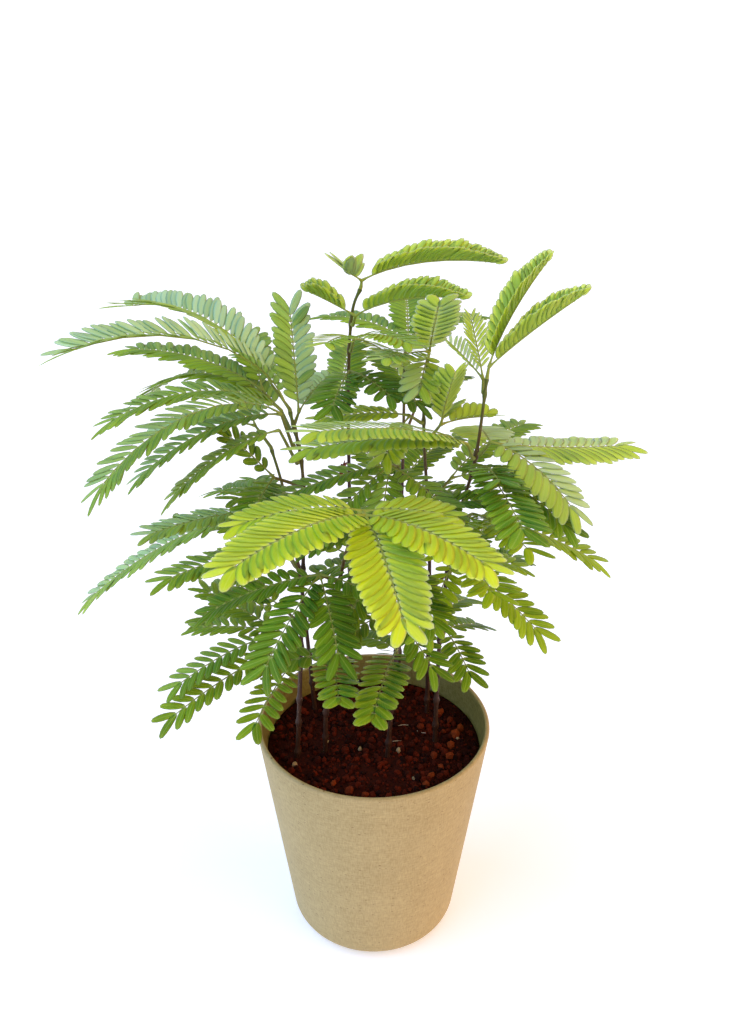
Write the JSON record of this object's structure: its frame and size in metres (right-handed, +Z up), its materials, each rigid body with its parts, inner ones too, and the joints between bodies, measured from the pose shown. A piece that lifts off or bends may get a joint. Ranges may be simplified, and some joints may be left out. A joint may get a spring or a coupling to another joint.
{
  "type": "potted everfresh tree",
  "caption": "Young everfresh tree with feathery twice-divided leaves on thin woody stems, growing in soil in a tapered round matte beige pot that stands on its flat bottom.",
  "frame": {"origin": "middle of the pot's flat bottom, on the surface it stands on", "axes": "+Z up along the pot's axis, -Y towards the front, +X to the right seen from the front"},
  "size_m": [0.2804, 0.2653, 0.3769],
  "materials": {
    "pot": "matte moulded bamboo-fibre beige with fine brown flecks",
    "soil": "damp dark bark compost with a few clay granules",
    "stem": "thin dark brown young bark",
    "leaf": "semi-gloss green leaflets with a pale midrib",
    "leaf_young": "thin bright yellow-green new leaflets"
  },
  "bodies": {
    "root": {"leaf_1_1": "leaf_young", "leaf_1_2": "leaf", "leaf_1_3": "leaf", "leaf_2_1": "leaf_young", "leaf_2_2": "leaf_young", "leaf_2_3": "leaf_young", "leaf_2_4": "leaf_young", "leaf_2_5": "leaf", "leaf_2_6": "leaf", "leaf_2_7": "leaf", "leaf_2_8": "leaf", "leaf_3_1": "leaf", "leaf_3_10": "leaf", "leaf_3_2": "leaf", "leaf_3_3": "leaf", "leaf_3_4": "leaf", "leaf_3_5": "leaf", "leaf_3_6": "leaf", "leaf_3_7": "leaf", "leaf_3_8": "leaf", "leaf_3_9": "leaf", "leaf_4_1": "leaf_young", "leaf_4_2": "leaf_young", "leaf_4_3": "leaf_young", "leaf_4_4": "leaf", "leaf_4_5": "leaf", "leaf_4_6": "leaf", "leaf_5_1": "leaf", "leaf_5_2": "leaf", "leaf_5_3": "leaf", "leaf_5_4": "leaf", "leaf_5_5": "leaf", "leaf_6_1": "leaf_young", "leaf_6_2": "leaf_young", "leaf_6_3": "leaf_young", "leaf_6_4": "leaf", "leaf_6_5": "leaf", "leaf_6_6": "leaf", "leaf_7_1": "leaf", "leaf_7_2": "leaf", "leaf_7_3": "leaf", "leaf_7_4": "leaf", "leaf_8_1": "leaf", "leaf_8_2": "leaf", "leaf_8_3": "leaf", "leaf_8_4": "leaf", "pot": "pot", "soil": "soil", "stem_1": "stem", "stem_2": "stem", "stem_3": "stem", "stem_4": "stem", "stem_5": "stem", "stem_6": "stem", "stem_7": "stem", "stem_8": "stem"}
  },
  "joints": []
}
